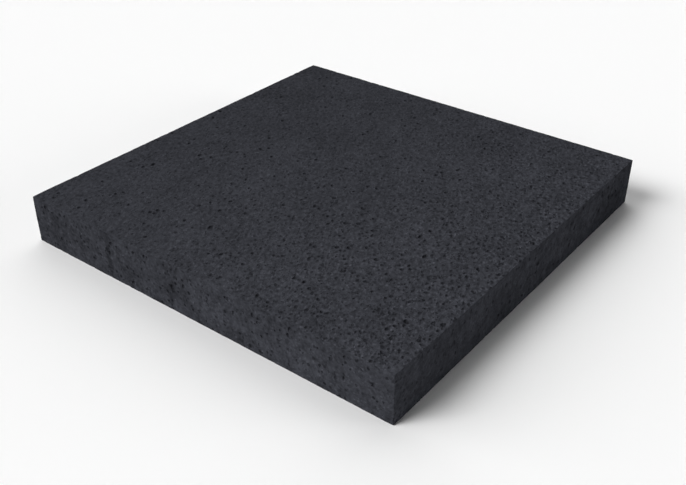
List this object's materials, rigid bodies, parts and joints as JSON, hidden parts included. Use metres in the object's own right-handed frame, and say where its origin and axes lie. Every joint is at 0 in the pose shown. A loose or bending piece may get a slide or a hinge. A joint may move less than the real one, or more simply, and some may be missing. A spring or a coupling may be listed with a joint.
{
  "type": "concrete paving slab",
  "caption": "Square, flat concrete paving slab with crisp edges, dark grey and finely pitted, laid on a bed to surface a path or terrace.",
  "frame": {"origin": "middle of the bed face, the underside that the slab lies on", "axes": "+Z out of the wearing face, +X and +Y along the sides"},
  "size_m": [0.6, 0.6, 0.07],
  "materials": {
    "concrete": "matte"
  },
  "bodies": {
    "root": {"slab": "concrete"}
  },
  "joints": []
}
